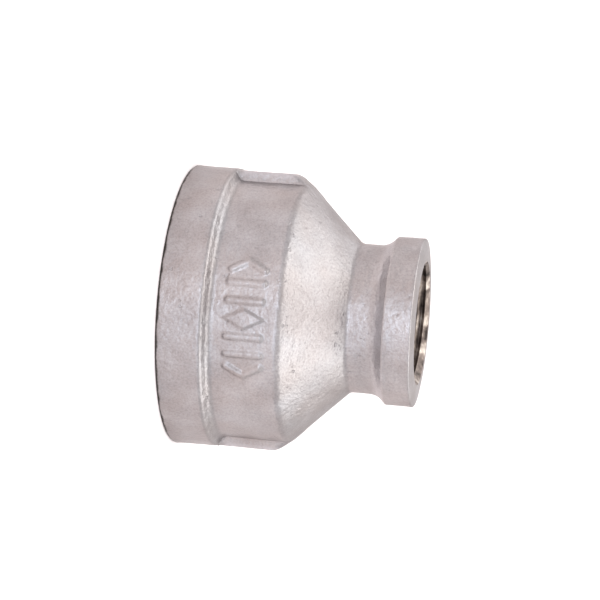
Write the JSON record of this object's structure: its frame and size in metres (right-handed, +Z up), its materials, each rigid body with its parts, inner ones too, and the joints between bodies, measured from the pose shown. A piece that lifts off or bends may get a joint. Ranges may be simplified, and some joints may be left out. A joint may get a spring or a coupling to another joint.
{
  "type": "concentric reducer",
  "caption": "Banded concentric reducing socket in zinc coated malleable iron, with an internal taper pipe thread in each end, a cone between them and wrench ribs on the wide body.",
  "frame": {"origin": "centre of the large end face, on which the fitting stands", "axes": "+Z up the common axis, towards the small end; +X through one of the two wrench ribs; the raised tally faces -Y"},
  "size_m": [0.062, 0.062, 0.0524],
  "materials": {
    "zinc_coated_iron": "satin hot-dip zinc on cast iron, finely mottled and slightly pitted, with cut threads left darker"
  },
  "bodies": {
    "root": {"reducer_casting": "zinc_coated_iron"}
  },
  "joints": []
}
